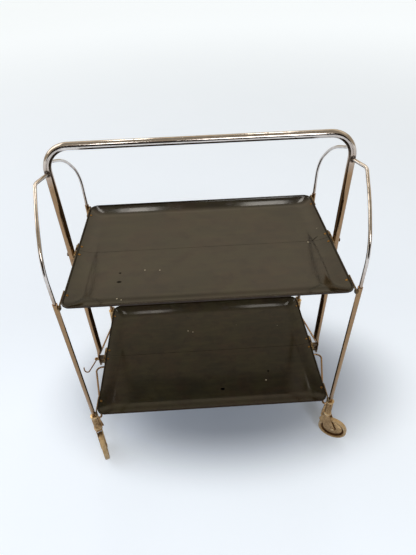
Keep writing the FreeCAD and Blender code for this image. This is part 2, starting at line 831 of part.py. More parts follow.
spacers = [make_spacer(upper_rivet, shank_inner_face + saddle_depth)]
spacers += [make_spacer(z, flat_inner_face) for z in (lower_rivet, middle_rivet)]
save("bracket_spacers", *[to_corner(spacer, side, 1) for side in (-1, 1) for spacer in spacers])

leaf_pins = [make_leaf_pin(inner_pivot_y, z) for z in (upper_inner_pivot, lower_inner_pivot)]
quarters = [(-1, -1), (1, -1), (-1, 1), (1, 1)]
save("leaf_pivot_pins", *[to_corner(pin, side, end) for side, end in quarters for pin in leaf_pins])

trays = {
    "upper": (upper_rim_height, upper_inner_pivot, upper_corner_pivot),
    "lower": (lower_rim_height, lower_inner_pivot, lower_corner_pivot),
}
for tray_name, (rim, inner_z, corner_z) in trays.items():
    leaf = make_leaf(rim)
    lugs = [make_inner_lug(rim, inner_z), make_corner_lug(rim, corner_z)]
    rivets = [make_rim_rivet(rim, inner_pivot_y), make_rim_rivet(rim, corner_lug_rivet)]
    for end, end_name in ((-1, "front"), (1, "rear")):
        name = tray_name + "_" + end_name
        save(name + "_leaf", to_corner(leaf, 1, end))
        save(name + "_lugs", *[to_corner(lug, side, end) for side in (-1, 1) for lug in lugs])
        save(name + "_rivets", *[to_corner(rivet, side, end) for side in (-1, 1) for rivet in rivets])

leg = make_leg()
studs = [make_stud(z) for z in (upper_corner_pivot, lower_corner_pivot)]
hoop = make_hoop()
link = make_link()
socket = make_socket()
caster_pieces = {
    "stem": make_stem(),
    "fork": make_fork(),
    "axle": make_axle(),
    "wheel": make_wheel(),
    "tread": make_tread(),
}
for corner_name, (side, end, direction) in corners.items():
    save(corner_name + "_leg", to_corner(leg, side, end))
    save(corner_name + "_studs", *[to_corner(stud, side, end) for stud in studs])
    save(corner_name + "_stay", to_corner(hoop, side, end))
    save(corner_name + "_link", to_corner(link, side, end))
    save(corner_name + "_socket", to_corner(socket, side, end))
    for piece_name, piece in caster_pieces.items():
        save(corner_name + "_" + piece_name, place_caster(piece, side, end, direction))

save("hook_ear", make_hook_ear())
save("storage_hook", make_hook())
print("wheel reach", round(caster_reach(right_front_trail), 3))
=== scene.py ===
import json
import math

import bmesh
import bpy
from mathutils import Matrix, Vector


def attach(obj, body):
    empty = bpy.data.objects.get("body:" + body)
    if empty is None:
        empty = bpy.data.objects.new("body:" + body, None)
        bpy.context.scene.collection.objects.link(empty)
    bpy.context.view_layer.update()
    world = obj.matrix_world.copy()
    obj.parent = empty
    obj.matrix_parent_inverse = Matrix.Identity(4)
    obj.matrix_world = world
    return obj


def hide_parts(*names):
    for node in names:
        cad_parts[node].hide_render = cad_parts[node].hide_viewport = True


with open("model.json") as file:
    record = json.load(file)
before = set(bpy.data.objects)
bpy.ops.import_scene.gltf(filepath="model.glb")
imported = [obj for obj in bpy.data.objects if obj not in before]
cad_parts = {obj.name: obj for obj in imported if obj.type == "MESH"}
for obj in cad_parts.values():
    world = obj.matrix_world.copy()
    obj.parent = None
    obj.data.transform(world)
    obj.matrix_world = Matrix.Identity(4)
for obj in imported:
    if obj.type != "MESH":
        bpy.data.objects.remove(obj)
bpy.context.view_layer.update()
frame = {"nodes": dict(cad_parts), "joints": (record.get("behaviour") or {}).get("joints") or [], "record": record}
nodes = frame["nodes"]
joints = {joint["name"]: joint for joint in frame["joints"]}
corners = ("left_front", "right_front", "left_rear", "right_rear")
leaves = ("upper_front", "upper_rear", "lower_front", "lower_rear")
meshRules = {          # metres, degrees, and the least cosine at which a face looks along an axis
    "weld": 1e-6, "flat": 1.0, "sharp": 40, "roundings": 2, "smooth": 35, "facing": 0.99,
}
print("frame loaded:", len(nodes), "nodes")


def startFresh():          # back to object mode with nothing selected
    if bpy.context.object and bpy.context.object.mode != "OBJECT":
        bpy.ops.object.mode_set(mode="OBJECT")
    bpy.ops.object.select_all(action="DESELECT")


def makeActive(obj):
    startFresh()
    obj.select_set(True)
    bpy.context.view_layer.objects.active = obj


def editMesh(obj, mode):          # opens the mesh for editing with nothing selected
    makeActive(obj)
    bpy.ops.object.mode_set(mode="EDIT")
    bpy.ops.mesh.select_mode(type=mode)
    bpy.ops.mesh.select_all(action="DESELECT")


def pick(kind, test):          # selects verts, edges or faces of the open mesh by their place
    mesh = bmesh.from_edit_mesh(bpy.context.edit_object.data)
    for item in getattr(mesh, kind):
        item.select_set(bool(test(item)))
    mesh.select_flush_mode()
    bmesh.update_edit_mesh(bpy.context.edit_object.data)


def closeMesh():          # turns the faces of the open mesh outwards, and leaves editing
    bpy.ops.mesh.select_all(action="SELECT")
    bpy.ops.mesh.normals_make_consistent(inside=False)
    bpy.ops.object.mode_set(mode="OBJECT")


def applyPlace(obj):          # moves the object's place into its mesh
    makeActive(obj)
    bpy.ops.object.transform_apply(location=True, rotation=True, scale=True)


def moved(obj, matrix):
    obj.matrix_world = matrix
    applyPlace(obj)
    return obj


def copyPiece(obj, name):
    twin = bpy.data.objects.new(name, obj.data.copy())
    bpy.context.scene.collection.objects.link(twin)
    return twin


def joinPieces(pieces, name):
    makeActive(pieces[0])
    for piece in pieces[1:]:
        piece.select_set(True)
    bpy.ops.object.join()
    bpy.context.object.name = name
    bpy.context.object.data.name = name
    return bpy.context.object


def combine(obj, other, operation):          # joins or cuts solids, and removes the second one
    solid = obj.modifiers.new("solid", "BOOLEAN")
    solid.object = other
    solid.operation = operation
    solid.solver = "EXACT"
    makeActive(obj)
    bpy.ops.object.modifier_apply(modifier=solid.name)
    bpy.data.objects.remove(other)


def smoothBy(obj, degrees):
    makeActive(obj)
    bpy.ops.object.shade_smooth_by_angle(angle=math.radians(degrees))


def roundEdges(obj, width):
    makeActive(obj)
    bevel = obj.modifiers.new("edge", "BEVEL")
    bevel.width = width
    bevel.segments = meshRules["roundings"]
    bevel.limit_method = "ANGLE"
    bevel.angle_limit = math.radians(meshRules["sharp"])
    bpy.ops.object.modifier_apply(modifier=bevel.name)


def discAt(radius, place, depth, axis="Y", sides=56):          # to be cut, joined or drilled with
    startFresh()
    turn = (math.pi / 2, 0, 0) if axis == "Y" else (0, 0, 0)
    bpy.ops.mesh.primitive_cylinder_add(vertices=sides, radius=radius, depth=depth, location=place,
                                        rotation=turn)
    disc = bpy.context.object
    applyPlace(disc)
    return disc


def blockAt(place, size):
    startFresh()
    bpy.ops.mesh.primitive_cube_add(size=1, location=place)
    block = bpy.context.object
    block.scale = size
    applyPlace(block)
    return block


def turned(name, rings, sides, closed=False):          # rings of (height, radius), turned about the Z axis
    startFresh()
    bpy.ops.mesh.primitive_circle_add(vertices=sides, radius=rings[0][1], location=(0, 0, rings[0][0]))
    piece = bpy.context.object
    piece.name = name
    applyPlace(piece)
    editMesh(piece, "EDGE")
    bpy.ops.mesh.select_all(action="SELECT")
    for (low, before), (high, after) in zip(rings, rings[1:]):
        bpy.ops.mesh.extrude_edges_move(TRANSFORM_OT_translate={"value": (0, 0, high - low)})
        scale = after / before
        bpy.ops.transform.resize(value=(scale, scale, 1), center_override=(0, 0, high))
    if closed:
        bpy.ops.mesh.select_all(action="SELECT")
        bpy.ops.mesh.remove_doubles(threshold=meshRules["weld"])
    else:
        bpy.ops.mesh.edge_face_add()
        pick("edges", lambda edge: edge.is_boundary)
        bpy.ops.mesh.edge_face_add()
    closeMesh()
    return piece


def mergedCopy(nodeName, name, edge):          # a CAD node's shape, welded and shaded smooth
    piece = copyPiece(nodes[nodeName], name)
    editMesh(piece, "VERT")
    bpy.ops.mesh.select_all(action="SELECT")
    bpy.ops.mesh.remove_doubles(threshold=meshRules["weld"])
    bpy.ops.mesh.dissolve_limited(angle_limit=math.radians(meshRules["flat"]))
    bpy.ops.object.mode_set(mode="OBJECT")
    if edge:
        roundEdges(piece, edge)
    smoothBy(piece, meshRules["smooth"])
    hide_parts(nodeName)
    return piece


def hexColour(text):          # sRGB hex to linear
    channels = [int(text[i:i + 2], 16) / 255 for i in (1, 3, 5)]
    return tuple(c / 12.92 if c <= 0.04045 else ((c + 0.055) / 1.055) ** 2.4 for c in channels) + (1.0,)


def addNode(material, kind, inputs=None, **settings):          # one shader node with its settings and links
    node = material.node_tree.nodes.new(kind)
    for name, value in settings.items():
        setattr(node, name, value)
    for name, value in (inputs or {}).items():
        if isinstance(value, bpy.types.Node):          # a node gives its first output in use
            value = next(output for output in value.outputs if output.enabled)
        if isinstance(value, bpy.types.NodeSocket):
            material.node_tree.links.new(value, node.inputs[name])
        else:
            node.inputs[name].default_value = hexColour(value) if isinstance(value, str) else value
    return node


def startMaterial(name):
    material = bpy.data.materials.new(name)
    material.use_nodes = True
    material.node_tree.nodes.clear()
    return material


def perSize(millimetres):          # texture scale for features of this size, in metres of Object space
    return 1000.0 / millimetres


def speckles(material, place, size, low, high, detail):          # patches of this size in millimetres
    noise = addNode(material, "ShaderNodeTexNoise", {
        "Vector": place, "Scale": perSize(size), "Detail": detail, "Roughness": 0.6})
    return addNode(material, "ShaderNodeMapRange", {"Value": noise, "From Min": low, "From Max": high})


def layered(material, tint, layers):          # each layer is a mask, how strongly it covers, and its colour
    for mask, strength, colour in layers:
        share = addNode(material, "ShaderNodeMath", {0: mask, 1: strength}, operation="MULTIPLY")
        tint = addNode(material, "ShaderNodeMix", {0: share, 6: tint, 7: colour}, data_type="RGBA")
    return tint


def raisedBy(material, value, additions):          # each addition is a mask and how much it adds, up to 1
    for mask, amount in additions:
        value = addNode(material, "ShaderNodeMath", {0: mask, 1: amount, 2: value},
                        operation="MULTIPLY_ADD", use_clamp=True)
    return value


def finishMaterial(material, colour, roughness, metallic, bumps, ior=None):
    finish = {"Base Color": colour, "Roughness": roughness, "Metallic": metallic}
    if ior:
        finish["IOR"] = ior
    normal = {}
    for height, (distance, strength) in bumps:
        bump = addNode(material, "ShaderNodeBump", {
            "Height": height, "Distance": distance, "Strength": strength, **normal})
        normal = {"Normal": bump}
    shader = addNode(material, "ShaderNodeBsdfPrincipled", {**finish, **normal})
    addNode(material, "ShaderNodeOutputMaterial", {"Surface": shader})
    return material


# patterns are (size in mm, low, high, detail), and bumps are (depth in metres, strength)
plating = {
    "bright": "#d3cdc9", "tan": "#97795a", "gold": "#8f7350", "dull": "#7a6b5a", "rust": "#2f1a0e",
    "cloud": (60.0, 0.42, 0.68, 4.0), "haze": (12.0, 0.40, 0.70, 3.0), "patch": (25.0, 0.50, 0.62, 2.0),
    "pit": (2.2, 0.70, 0.76, 1.0), "pitWear": 0.06, "cloudShare": 0.15, "hazeShare": 0.45,
    "stayHole": (0.300, 0.008, 0.699), "stain": (0.55 * 0.0085, 0.0085),
    "roughness": (0.07, 0.20), "rustRoughness": 0.5,
    "ripple": 18.0, "rippleBump": (0.0004, 0.25), "rustBump": (0.0002, 0.5),
}
platedParts = {          # material name, share of gold, wear, heights from bright down to the painted tan reflection, rust at stay hole
    "tube": ("platedTube", 0.06, 0.6, (0.742, 0.66), True),
    "rod": ("platedRod", 0.10, 0.7, (0.57, 0.49), True),
    "leg": ("platedLeg", 0.50, 1.0, (0.70, 0.55), False),
}


def platedSteel(part):
    # nickel and chrome plate on drawn tube: bright above and tan further down, the tan being a painted reflection
    # of a brown room, clouded by age and freckled with rust pits
    name, goldShare, wear, (brightHeight, tanHeight), stained = platedParts[part]
    material = startMaterial(name)
    place = addNode(material, "ShaderNodeTexCoord").outputs["Object"]
    height = addNode(material, "ShaderNodeSeparateXYZ", {"Vector": place}).outputs["Z"]
    cloud, haze, patch = (speckles(material, place, *plating[key]) for key in ("cloud", "haze", "patch"))
    size, low, high, detail = plating["pit"]
    pit = speckles(material, place, size, low - plating["pitWear"] * wear, high, detail)
    rust = addNode(material, "ShaderNodeMath", {0: pit, 1: patch}, operation="MULTIPLY", use_clamp=True)
    if stained:          # rust that has run out of the drilled hole, alike on both sides
        mirrored = addNode(material, "ShaderNodeVectorMath", {0: place}, operation="ABSOLUTE")
        away = addNode(material, "ShaderNodeVectorMath", {0: mirrored, 1: plating["stayHole"]},
                       operation="DISTANCE")
        core, edge = plating["stain"]
        ring = addNode(material, "ShaderNodeMapRange", {
            "Value": away, "From Min": core, "From Max": edge, "To Min": 1.0, "To Max": 0.0})
        rust = raisedBy(material, rust, [(ring, 1.0)])
    # painted reflection: bright above the first height, turning tan below the second
    down = addNode(material, "ShaderNodeMapRange", {
        "Value": height, "From Min": brightHeight, "From Max": tanHeight})
    worn = raisedBy(material, down, [(cloud, plating["cloudShare"])])
    tint = layered(material, plating["bright"], (
        (worn, 1.0, plating["tan"]), (cloud, goldShare, plating["gold"]),
        (haze, plating["hazeShare"] * wear, plating["dull"]), (rust, 1.0, plating["rust"])))
    low, high = plating["roughness"]
    roughness = addNode(material, "ShaderNodeMapRange", {"Value": haze, "To Min": low, "To Max": high})
    roughness = raisedBy(material, roughness, [(rust, plating["rustRoughness"])])
    metallic = addNode(material, "ShaderNodeMath", {0: 1.0, 1: rust}, operation="SUBTRACT", use_clamp=True)
    ripple = addNode(material, "ShaderNodeTexNoise", {
        "Vector": place, "Scale": perSize(plating["ripple"]), "Detail": 1.0})
    bumps = [(ripple, plating["rippleBump"]), (rust, plating["rustBump"])]
    return finishMaterial(material, tint, roughness, metallic, bumps)


enamel = {
    "worn": "#36321f", "brown": "#38291d", "dark": "#0a0905", "primer": "#e2dac6", "rim": "#24140a",
    "speck": "#b9b3a4", "stain": "#0b0907",
    "rubbed": (150.0, 0.35, 0.75, 5.0), "streak": (12.0, 0.42, 0.70, 4.0), "grime": (30.0, 0.50, 0.78, 5.0),
    "patch": (60.0, 0.42, 0.62, 3.0), "ragged": (9.0, 0.20, 0.50, 3.0), "streakScale": (0.2, 1.0, 1.0),
    "rubbedShare": 0.60, "streakShare": 0.40, "grimeShare": 0.60,
    "flecks": (30.0, 0.020, 0.032, "Red", 0.88), "spots": (85.0, 0.018, 0.035, "Green", 0.72),
    "markEdge": (0.6, 1.1), "markHeight": 1000.0, "rimInside": (0.2828, 0.1888), "rimDepth": 0.0045,
    "roughness": (0.09, 0.16), "grimeRoughness": 0.12, "rimRoughness": 0.45, "primerRoughness": 0.35,
    "peel": 6.0, "peelBump": (0.00005, 0.25), "fleckBump": (0.0002, 0.5),
}
trayEnamel = {          # marks are (x, y, radius, length over width, turn in degrees) on the floors, metres
    "upper": {
        "name": "stoveEnamelUpper", "colour": "#12110a", "rimTop": 0.513, "ior": 1.50,
        "chips": ((-0.181, -0.160, 0.0017, 1, 0), (-0.172, -0.165, 0.0015, 1, 0),
                  (-0.131, -0.073, 0.0015, 1, 0), (-0.099, -0.076, 0.0016, 1, 0),
                  (0.236, -0.003, 0.0021, 1, 0)),
        "stains": ((-0.183, -0.079, 0.0030, 1, 0), (-0.182, -0.108, 0.0036, 1.6, 0),
                   (0.2535, 0.0075, 0.0013, 12, 42)),
    },
    "lower": {
        # the lower tray has the same enamel as the upper: its lighter colour is painted light and its lower IOR
        # weakens reflections, making up for how light falls under the upper tray
        "name": "stoveEnamelLower", "colour": "#1f1d14", "rimTop": 0.155, "ior": 1.32,
        "chips": ((-0.057, 0.079, 0.0016, 1, 0), (-0.043, 0.074, 0.0015, 1, 0),
                  (0.144, -0.111, 0.0020, 1, 0)),
        "stains": ((0.029, -0.131, 0.0042, 1.4, 0), (0.154, -0.083, 0.0030, 1, 0)),
    },
}


def addMarks(material, place, mask, marks):          # raises the mask to 1 inside each mark, with soft edges
    inner, outer = enamel["markEdge"]
    for x, y, reach, stretch, turn in marks:
        fitted = addNode(material, "ShaderNodeMapping", {
            "Vector": place, "Location": (x, y, 0), "Rotation": (0, 0, math.radians(turn)),
            "Scale": (reach * stretch, reach, enamel["markHeight"])}, vector_type="TEXTURE")
        away = addNode(material, "ShaderNodeVectorMath", {0: fitted}, operation="LENGTH")
        inside = addNode(material, "ShaderNodeMapRange", {
            "Value": away, "From Min": inner, "From Max": outer, "To Min": 1.0, "To Max": 0.0},
            interpolation_type="SMOOTHSTEP")
        mask = raisedBy(material, mask, [(inside, 1.0)])
    return mask


def scattered(material, place, size, inner, outer, channel, least):          # round dots in a few cells
    cells = addNode(material, "ShaderNodeTexVoronoi", {"Vector": place, "Scale": perSize(size)})
    dot = addNode(material, "ShaderNodeMapRange", {
        "Value": cells, "From Min": inner, "From Max": outer, "To Min": 1.0, "To Max": 0.0})
    draw = addNode(material, "ShaderNodeSeparateColor", {"Color": cells.outputs["Color"]}).outputs[channel]
    kept = addNode(material, "ShaderNodeMath", {0: draw, 1: least}, operation="GREATER_THAN")
    return addNode(material, "ShaderNodeMath", {0: dot, 1: kept}, operation="MULTIPLY", use_clamp=True)


def stoveEnamel(tray):
    # stoved enamel on pressed sheet: glossy but rubbed by cloths, with crumbs of white, spots burnt through to
    # blackened steel and a dark brown band over the outer face of the rolled rim
    material = startMaterial(tray["name"])
    coordinates = addNode(material, "ShaderNodeTexCoord")
    place = coordinates.outputs["Object"]
    facing = addNode(material, "ShaderNodeSeparateXYZ", {"Vector": coordinates.outputs["Normal"]})
    underside = addNode(material, "ShaderNodeMath", {0: facing.outputs["Z"], 1: -0.5}, operation="LESS_THAN")
    rubbed, grime, patch, rim = (
        speckles(material, place, *enamel[key]) for key in ("rubbed", "grime", "patch", "ragged"))
    wiped = addNode(material, "ShaderNodeMapping", {"Vector": place, "Scale": enamel["streakScale"]})
    streak = speckles(material, wiped, *enamel["streak"])
    flecks = addMarks(material, place, scattered(material, place, *enamel["flecks"]), tray["chips"])
    spots = addMarks(material, place, scattered(material, place, *enamel["spots"]), tray["stains"])
    mirrored = addNode(material, "ShaderNodeVectorMath", {0: place}, operation="ABSOLUTE")
    axes = addNode(material, "ShaderNodeSeparateXYZ", {"Vector": mirrored}).outputs
    beyondX, beyondY, raised = (
        addNode(material, "ShaderNodeMath", {0: axes[axis], 1: limit}, operation="GREATER_THAN")
        for axis, limit in zip("XYZ", (*enamel["rimInside"], tray["rimTop"] - enamel["rimDepth"])))
    outside = addNode(material, "ShaderNodeMath", {0: beyondX, 1: beyondY}, operation="MAXIMUM")
    for mask in (outside, raised):
        rim = addNode(material, "ShaderNodeMath", {0: mask, 1: rim}, operation="MULTIPLY", use_clamp=True)
    wear = layered(material, enamel["worn"], [(patch, 1.0, enamel["brown"])])
    tint = layered(material, tray["colour"], (
        (rubbed, enamel["rubbedShare"], wear), (streak, enamel["streakShare"], wear),
        (grime, enamel["grimeShare"], enamel["dark"]), (flecks, 1.0, enamel["speck"]),
        (spots, 1.0, enamel["stain"]), (underside, 1.0, enamel["primer"]), (rim, 1.0, enamel["rim"])))
    low, high = enamel["roughness"]
    roughness = addNode(material, "ShaderNodeMapRange", {"Value": rubbed, "To Min": low, "To Max": high})
    roughness = raisedBy(material, roughness, (
        (grime, enamel["grimeRoughness"]), (rim, enamel["rimRoughness"]),
        (underside, enamel["primerRoughness"])))
    peel = addNode(material, "ShaderNodeTexNoise", {
        "Vector": place, "Scale": perSize(enamel["peel"]), "Detail": 1.0})
    bumps = [(peel, enamel["peelBump"]), (flecks, enamel["fleckBump"])]
    return finishMaterial(material, tint, roughness, spots, bumps, tray["ior"])


metalParts = {          # material name, clean colour, dirty colour, roughness, size of the grime in mm
    "zinc": ("zincPlatedSheet", "#a08a66", "#57442a", 0.34, 5.0),
    "brass": ("brassRivet", "#94713f", "#4d3519", 0.40, 2.5),
    "caster": ("tarnishedBrassPlate", "#cfae80", "#62401f", 0.36, 4.0),
    # lighter brass, partly real rubbing and partly a painted highlight on rings and axle heads
    "polished": ("rubbedBrassPlate", "#dfc8a0", "#a07c4e", 0.30, 3.0),
    # painted shade: dark brass laid in grooves and hollows where shade falls
    "soiled": ("brassPlateInGrime", "#5f4123", "#38220f", 0.60, 3.0),
    "pin": ("dullSteelPin", "#7a6d5c", "#2d2016", 0.42, 3.0),
}
metalGrime = {
    "close": (0.42, 0.68, 4.0), "broad": (40.0, 0.38, 0.68, 3.0), "roughness": (-0.10, 0.25),
    "leastMetal": 0.75, "grain": 0.9, "grainBump": (0.00004, 0.4), "grimeBump": (0.0001, 0.4),
}


def sheetMetal(kind):
    # small pressed and turned hardware: satin metal with grime in patches and a fine rolled grain
    name, clean, dirty, rough, size = metalParts[kind]
    material = startMaterial(name)
    place = addNode(material, "ShaderNodeTexCoord").outputs["Object"]
    grime = speckles(material, place, size, *metalGrime["close"])
    broad = speckles(material, place, *metalGrime["broad"])
    both = addNode(material, "ShaderNodeMath", {0: grime, 1: broad}, operation="ADD")
    dirt = addNode(material, "ShaderNodeMath", {0: both, 1: 0.5}, operation="MULTIPLY", use_clamp=True)
    tint = layered(material, clean, [(dirt, 1.0, dirty)])
    smoother, rougher = metalGrime["roughness"]
    roughness = addNode(material, "ShaderNodeMapRange", {
        "Value": dirt, "To Min": rough + smoother, "To Max": rough + rougher})
    metallic = addNode(material, "ShaderNodeMapRange", {
        "Value": dirt, "To Min": 1.0, "To Max": metalGrime["leastMetal"]})
    grain = addNode(material, "ShaderNodeTexNoise", {
        "Vector": place, "Scale": perSize(metalGrime["grain"]), "Detail": 2.0})
    bumps = [(grain, metalGrime["grainBump"]), (grime, metalGrime["grimeBump"])]
    return finishMaterial(material, tint, roughness, metallic, bumps)


rubber = {
    "clean": "#dcc196", "dirty": "#8a6840", "faded": "#b3925f", "roughness": (0.42, 0.68), "ior": 1.52,
    "dirt": (6.0, 0.42, 0.70, 4.0), "dirtShare": 0.6, "broad": (30.0, 0.40, 0.70, 2.0), "broadShare": 0.4,
    "grain": 0.7, "grainBump": (0.00006, 0.5), "dirtBump": (0.0002, 0.5),
}


def agedRubber():
    # tan rubber tread, hardened and polished by rolling, darker where dirt is pressed in
    material = startMaterial("agedTanRubber")
    place = addNode(material, "ShaderNodeTexCoord").outputs["Object"]
    dirt, broad = (speckles(material, place, *rubber[key]) for key in ("dirt", "broad"))
    tint = layered(material, rubber["clean"], (
        (dirt, rubber["dirtShare"], rubber["dirty"]), (broad, rubber["broadShare"], rubber["faded"])))
    low, high = rubber["roughness"]
    roughness = addNode(material, "ShaderNodeMapRange", {"Value": dirt, "To Min": low, "To Max": high})
    grain = addNode(material, "ShaderNodeTexNoise", {
        "Vector": place, "Scale": perSize(rubber["grain"]), "Detail": 3.0})
    bumps = [(grain, rubber["grainBump"]), (dirt, rubber["dirtBump"])]
    return finishMaterial(material, tint, roughness, 0.0, bumps, rubber["ior"])


materials = {part: platedSteel(part) for part in platedParts}
materials.update({kind: sheetMetal(kind) for kind in metalParts})
materials.update({tier + "Enamel": stoveEnamel(tray) for tier, tray in trayEnamel.items()})
materials["rubber"] = agedRubber()
print("materials made:", len(materials))


def dress(obj, key):
    obj.data.materials.clear()
    obj.data.materials.append(materials[key])


def dressFaces(obj, key, test):          # gives the faces whose centre passes the test a finish of their own
    obj.data.materials.append(materials[key])
    for face in obj.data.polygons:
        if test(face.center):
            face.material_index = len(obj.data.materials) - 1


trayShape = {
    "floor": (0.245, 0.151),          # half length and half depth of the flat floor
    "floorCorner": 0.014, "cornerSteps": 10, "rimCorner": 0.020, "run": 0.040, "rise": 0.011, "steps": 12,
    "lip": 0.003, "lipWidth": 0.0025, "lipStep": 30, "floorRings": (0.002, 0.005, 0.010),
    "sheet": 0.0012, "seamGap": 0.00035, "hem": 0.006, "hemInset": 0.001, "smooth": 32,
}
trayBases = {"upper": 0.499, "lower": 0.141}          # undersides of the two floors


def rimLean(share):          # slope of the dished rim, from the floor at 0 to its edge at 1
    return math.atan(2 * trayShape["rise"] * share / trayShape["run"])


def dishPoint(share, above):          # (outset, rise) on the dished rim, or on its upper side
    lean = rimLean(share)
    return (trayShape["run"] * share - above * math.sin(lean),
            trayShape["rise"] * share ** 2 + above * math.cos(lean))


def trayRings():          # rings up the underside, over the rolled lip and down the upper side
    steps, sheet = trayShape["steps"], trayShape["sheet"]
    rings = [dishPoint(i / steps, 0.0) for i in range(steps + 1)]
    half = trayShape["lipWidth"] / 2
    centre = (trayShape["run"] - half, trayShape["rise"] + trayShape["lip"] - half)
    for degrees in range(0, 181, trayShape["lipStep"]):
        turn = math.radians(degrees)
        rings.append((centre[0] + half * math.cos(turn), centre[1] + half * math.sin(turn)))
    rings += [dishPoint(i / steps, sheet) for i in range(steps - 1, -1, -1)]
    return rings + [(-outset, sheet) for outset in trayShape["floorRings"]]


def ringOutTo(before, after, base):          # extrudes the open ring to the next outset and rise
    halfX, halfY = trayShape["floor"]
    growth = (trayShape["rimCorner"] - trayShape["floorCorner"]) / trayShape["run"]
    bpy.ops.mesh.extrude_edges_move(TRANSFORM_OT_translate={"value": (0, 0, after[1] - before[1])})
    level = base + after[1]
    radii = [trayShape["floorCorner"] + growth * outset for outset, rise in (before, after)]
    mesh = bmesh.from_edit_mesh(bpy.context.edit_object.data)
    ring = [vert.index for vert in mesh.verts if vert.select]
    bpy.ops.mesh.select_mode(type="VERT")
    for sx in (-1, 1):
        for sy in (-1, 1):
            mesh = bmesh.from_edit_mesh(bpy.context.edit_object.data)
            mesh.verts.ensure_lookup_table()
            mesh.verts.index_update()
            chosen = {i for i in ring if mesh.verts[i].co.x * sx > 0 and mesh.verts[i].co.y * sy > 0}
            pick("verts", lambda vert: vert.index in chosen)
            centres = [Vector((sx * (halfX + outset - radius), sy * (halfY + outset - radius), level))
                       for (outset, rise), radius in zip((before, after), radii)]
            scale = radii[1] / radii[0]
            bpy.ops.transform.resize(value=(scale, scale, 1), center_override=centres[0])
            bpy.ops.transform.translate(value=centres[1] - centres[0])
    pick("verts", lambda vert: vert.index in ring)
    bpy.ops.mesh.select_mode(type="EDGE")


def makeTray(name, base):          # both leaves in one piece, as a closed shell
    halfX, halfY = trayShape["floor"]
    startFresh()
    bpy.ops.mesh.primitive_plane_add(size=2, location=(0, 0, base))
    tray = bpy.context.object
    tray.name = name
    tray.scale = (halfX, halfY, 1)
    applyPlace(tray)
    editMesh(tray, "VERT")
    bpy.ops.mesh.select_all(action="SELECT")
    bpy.ops.mesh.bevel(offset=trayShape["floorCorner"], segments=trayShape["cornerSteps"], affect="VERTICES")
    bpy.ops.mesh.select_mode(type="EDGE")
    pick("edges", lambda edge: edge.is_boundary)
    rings = trayRings()
    for before, after in zip(rings, rings[1:]):
        ringOutTo(before, after, base)
    bpy.ops.mesh.edge_face_add()
    closeMesh()
    return tray


def cutLeaf(tray, name, side, base):          # one half of the tray, with its hem turned down along the seam
    leaf = copyPiece(tray, name)
    editMesh(leaf, "FACE")
    gap, sheet = trayShape["seamGap"], trayShape["sheet"]
    bpy.ops.mesh.select_all(action="SELECT")
    bpy.ops.mesh.bisect(plane_co=(0, side * gap, base), plane_no=(0, side, 0), use_fill=True,
                        clear_inner=True)
    bpy.ops.mesh.select_all(action="SELECT")
    bpy.ops.mesh.bisect(plane_co=(0, side * (gap + sheet), base), plane_no=(0, 1, 0))
    limit = trayShape["floor"][0] - trayShape["hemInset"]
    for end in (-1, 1):
        bpy.ops.mesh.select_all(action="SELECT")
        bpy.ops.mesh.bisect(plane_co=(end * limit, 0, base), plane_no=(1, 0, 0))
    pick("faces", lambda face: face.normal.z < -meshRules["facing"]
         and abs(face.calc_center_median().y) < gap + sheet
         and abs(face.calc_center_median().x) < limit
         and abs(face.calc_center_median().z - base) < sheet / 2)
    bpy.ops.mesh.extrude_region_move(TRANSFORM_OT_translate={"value": (0, 0, -trayShape["hem"])})
    bpy.ops.object.mode_set(mode="OBJECT")
    smoothBy(leaf, trayShape["smooth"])
    return leaf


for trayName, base in trayBases.items():
    tray = makeTray(trayName + "Tray", base)
    for endName, side in (("front", -1), ("rear", 1)):
        leaf = cutLeaf(tray, trayName + endName.capitalize() + "Leaf", side, base)
        dress(leaf, trayName + "Enamel")
        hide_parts(f"{trayName}_{endName}_leaf")
        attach(leaf, f"{trayName}_{endName}")
    bpy.data.objects.remove(tray)
print("tray leaves made")


handle = {
    "radius": 0.008, "shank": 0.300, "height": 0.750, "bend": 0.050, "sides": 32, "steps": 14,
    "flatTop": 0.152, "flatBottom": 0.112, "flatCentre": 0.3055, "flatHalf": (0.0025, 0.011),
    "tipAngles": (-80, -60, -38, -18, 0), "taperTop": 0.176, "taperShares": (0.15, 0.35, 0.6, 0.82, 1.0),
    "hole": 0.00425, "holeHeight": 0.699, "drill": 0.04, "drillSides": 24, "mirrorReach": 1e-5, "smooth": 40,
}


def crossSections():          # (height, centre X, half X, half Y) from the flattened tip up to the round tube
    halfX, halfY = handle["flatHalf"]
    middleHeight = handle["flatBottom"] + halfY
    for degrees in handle["tipAngles"]:
        turn = math.radians(degrees)
        yield middleHeight + halfY * math.sin(turn), handle["flatCentre"], halfX, halfY * math.cos(turn)
    yield handle["flatTop"], handle["flatCentre"], halfX, halfY
    for share in handle["taperShares"]:
        ease = share * share * (3 - 2 * share)
        yield (handle["flatTop"] + share * (handle["taperTop"] - handle["flatTop"]),
               handle["flatCentre"] + ease * (handle["shank"] - handle["flatCentre"]),
               halfX + ease * (handle["radius"] - halfX),
               halfY + ease * (handle["radius"] - halfY))


def squeezeRing(before, after):
    bpy.ops.mesh.extrude_edges_move(TRANSFORM_OT_translate={
        "value": (-(after[1] - before[1]), 0, after[0] - before[0])})
    bpy.ops.transform.resize(value=(after[2] / before[2], after[3] / before[3], 1),
                             center_override=(-after[1], 0, after[0]))


